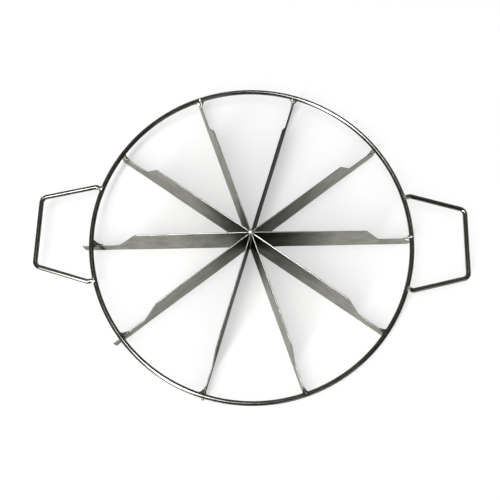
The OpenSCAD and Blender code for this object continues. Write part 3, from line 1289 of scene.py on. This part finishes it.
@dataclass
class Studio:
    """A white table, a dim room and soft lamps.

    The room is dim so that the wire's crown stays dark beside the streak that the narrow
    ceiling strip draws on it. Round the strip lies a wider, softer glow that only shiny
    surfaces see. To them the room is darkest towards -Y and low down, and its light is
    broken into soft patches. dark_end and lit_end are the Y of a direction of length 1,
    and backdrop_height and wall_top its Z. The table and the far backdrop are white.
    """

    table_size: float = 6.0
    table_colour: str = "fcfcfc"
    room_colour: str = "a6a6a6"
    mirrored_room_colour: str = "a1a095"
    room_patches: float = 1.3
    patch_range: tuple[float, float] = (0.35, 0.65)
    patch_shades: tuple[float, float] = (0.55, 1.45)
    wall_top: float = 0.75
    wall_shade: float = 0.22
    dark_end: float = 0.02
    lit_end: float = 0.3
    dark_shade: float = 0.14
    table_glow: float = 0.45
    backdrop_height: float = 0.08
    backdrop_fade: float = 1.5
    # One row for each lamp: name, round, height, distance, width, length, long, brightness
    lamps: tuple[SoftBox, ...] = (
        SoftBox("ceiling_strip", 226.9, 59.7, 1.5, 0.2, 2.3, 57.4, 12.0),
        SoftBox("strip_glow", 228.6, 55.3, 1.5, 0.5, 2.1, 57.4, 5.0, shows_on_matt=False),
        SoftBox("side_card", 300, 25, 1.6, 0.6, 1.0, 30, 1.2),
        SoftBox("ceiling_fill", 40, 80, 1.8, 2.4, 2.4, 0, 0.28, shows_in_metal=False),
    )

    def build(self) -> None:
        """Makes the lamps, the table and the room."""
        for lamp in self.lamps:
            lamp.build()
        self.build_table()
        self.build_room()

    @staticmethod
    def onlookers(sheet: NodeSheet) -> tuple[bpy.types.NodeSocket, bpy.types.NodeSocket]:
        """Adds two tests of what looks at a place, the camera and a shiny surface.

        Args:
            sheet: The node tree to add to.

        Returns:
            The camera's socket and the shiny surface's, each 1 where it looks.
        """
        path = sheet.add("ShaderNodeLightPath")
        shiny = sheet.add(
            "ShaderNodeMath",
            {"operation": "MAXIMUM"},
            {0: path.outputs["Is Glossy Ray"], 1: path.outputs["Is Transmission Ray"]},
        )
        return path.outputs["Is Camera Ray"], shiny.outputs[0]

    def build_table(self) -> None:
        """Makes the white table.

        Part of its light is its own where the camera or a shiny surface looks at it, so
        that it reads as white and still keeps the marker's shadow.
        """
        half = self.table_size / 2
        corners = [(-half, -half, 0), (half, -half, 0), (half, half, 0), (-half, half, 0)]
        mesh = bpy.data.meshes.new("table")
        mesh.from_pydata(corners, [], [(0, 1, 2, 3)])
        table = bpy.data.objects.new("table", mesh)
        bpy.context.scene.collection.objects.link(table)
        paper = bpy.data.materials.new("white_table_paper")
        paper.use_nodes = True
        sheet = NodeSheet(paper.node_tree)
        camera, shiny = self.onlookers(sheet)
        seen = sheet.add("ShaderNodeMath", {"operation": "MAXIMUM"}, {0: camera, 1: shiny})
        share = sheet.add(
            "ShaderNodeMath", {"operation": "MULTIPLY", 1: self.table_glow}, {0: seen.outputs[0]}
        )
        lit = sheet.add("ShaderNodeBsdfDiffuse", {"Color": linear_colour(self.table_colour)})
        glow = sheet.add("ShaderNodeEmission", {"Color": (1, 1, 1, 1), "Strength": 1.0})
        mixed = sheet.add(
            "ShaderNodeMixShader",
            {},
            {0: share.outputs[0], 1: lit.outputs["BSDF"], 2: glow.outputs["Emission"]},
        )
        sheet.add("ShaderNodeOutputMaterial", {}, {"Surface": mixed.outputs["Shader"]})
        mesh.materials.append(paper)

    def build_room(self) -> None:
        """Makes the room: white for the camera and below the backdrop's top, dim above it."""
        room = bpy.data.worlds.new("studio_room")
        bpy.context.scene.world = room
        room.use_nodes = True
        sheet = NodeSheet(room.node_tree)
        camera, shiny = self.onlookers(sheet)
        place = sheet.add("ShaderNodeTexCoord")
        parts = sheet.add("ShaderNodeSeparateXYZ", {}, {"Vector": place.outputs["Generated"]})
        low = sheet.add(
            "ShaderNodeMapRange",
            {"From Min": self.backdrop_height * self.backdrop_fade, "From Max": self.backdrop_height},
            {"Value": parts.outputs["Z"]},
        )
        mirrored = sheet.add(
            "ShaderNodeMath",
            {"operation": "MULTIPLY"},
            {0: shiny, 1: low.outputs["Result"]},
        )
        white = sheet.add(
            "ShaderNodeMath",
            {"operation": "MAXIMUM"},
            {0: camera, 1: mirrored.outputs[0]},
        )
        dim = sheet.add(
            "ShaderNodeMix",
            {
                "data_type": "RGBA",
                6: linear_colour(self.room_colour),
                7: linear_colour(self.mirrored_room_colour),
            },
            {"Factor": shiny},
        )
        patches = sheet.add(
            "ShaderNodeTexNoise",
            {"Scale": self.room_patches, "Detail": 1.0},
            {"Vector": place.outputs["Generated"]},
        )
        uneven = sheet.add(
            "ShaderNodeMapRange",
            {
                "From Min": self.patch_range[0],
                "From Max": self.patch_range[1],
                "To Min": self.patch_shades[0],
                "To Max": self.patch_shades[1],
            },
            {"Value": patches.outputs["Fac"]},
        )
        walls = sheet.add(
            "ShaderNodeMapRange",
            {"From Min": self.backdrop_height, "From Max": self.wall_top, "To Min": self.wall_shade},
            {"Value": parts.outputs["Z"]},
        )
        ends = sheet.add(
            "ShaderNodeMapRange",
            {"From Min": self.dark_end, "From Max": self.lit_end, "To Min": self.dark_shade},
            {"Value": parts.outputs["Y"]},
        )
        shaded = dim.outputs[2]
        for shade in (uneven, walls, ends):
            shaded = sheet.add(
                "ShaderNodeMix",
                {"data_type": "RGBA", "blend_type": "MULTIPLY"},
                {"Factor": shiny, 6: shaded, 7: shade.outputs["Result"]},
            ).outputs[2]
        colour = sheet.add(
            "ShaderNodeMix",
            {"data_type": "RGBA", 7: (1, 1, 1, 1)},
            {"Factor": white.outputs[0], 6: shaded},
        )
        light = sheet.add("ShaderNodeBackground", {"Strength": 1.0}, {"Color": colour.outputs[2]})
        sheet.add("ShaderNodeOutputWorld", {}, {"Surface": light.outputs["Background"]})


@dataclass(frozen=True)
class Viewpoint:
    """The camera: 621 mm above the table, looking down from in front and a little to the left.

    The frame is 500 pixels square, and the focal length is 720.8 of them.
    """

    place_mm: tuple[float, float, float] = (-15.0, -151.8, 620.6)
    turns_deg: tuple[float, float, float] = (13.502, -1.027, -1.449)
    focal_px: float = 720.8
    frame_px: float = 500.0
    sensor_mm: float = 36.0
    clip_m: tuple[float, float] = (0.01, 20.0)

    def build(self) -> None:
        """Makes the camera and hands it to the scene."""
        lens = bpy.data.cameras.new("viewpoint")
        lens.sensor_width = self.sensor_mm
        lens.lens = self.focal_px / self.frame_px * self.sensor_mm
        lens.clip_start, lens.clip_end = self.clip_m
        camera = bpy.data.objects.new("viewpoint", lens)
        bpy.context.scene.collection.objects.link(camera)
        camera.location = [length * MM for length in self.place_mm]
        camera.rotation_euler = [math.radians(turn) for turn in self.turns_deg]
        bpy.context.scene.camera = camera


def main() -> None:
    """Loads the frame and builds the marker, the studio and the camera round it."""
    logging.basicConfig(level=logging.INFO, format="%(name)s: %(message)s")
    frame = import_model()
    LOG.info("frame with %d nodes", len(frame["nodes"]))
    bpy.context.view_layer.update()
    bpy.context.scene.view_settings.view_transform = "Standard"
    Viewpoint().build()
    Studio().build()

    wire, strip, weld = (finish.material() for finish in (DRAWN_WIRE, SATIN_STRIP, WELD_METAL))
    plan = Plan.from_frame()
    Hoop(plan).build(wire)
    handles = (
        Handle(plan, "right", turn_deg=-2.2, reach=47.6),
        Handle(plan, "left", turn_deg=176.5, reach=45.8),
    )
    for handle in handles:
        handle.build(wire)
    hub = HubWeld.from_frame()
    BladeStar(plan, hub.pin_r).build(strip)
    hub.build(weld)
    TongueWelds(plan).build(weld)
    FootWelds(plan, tuple(handle.turn_deg for handle in handles)).build(weld)


if __name__ == "__main__":
    main()
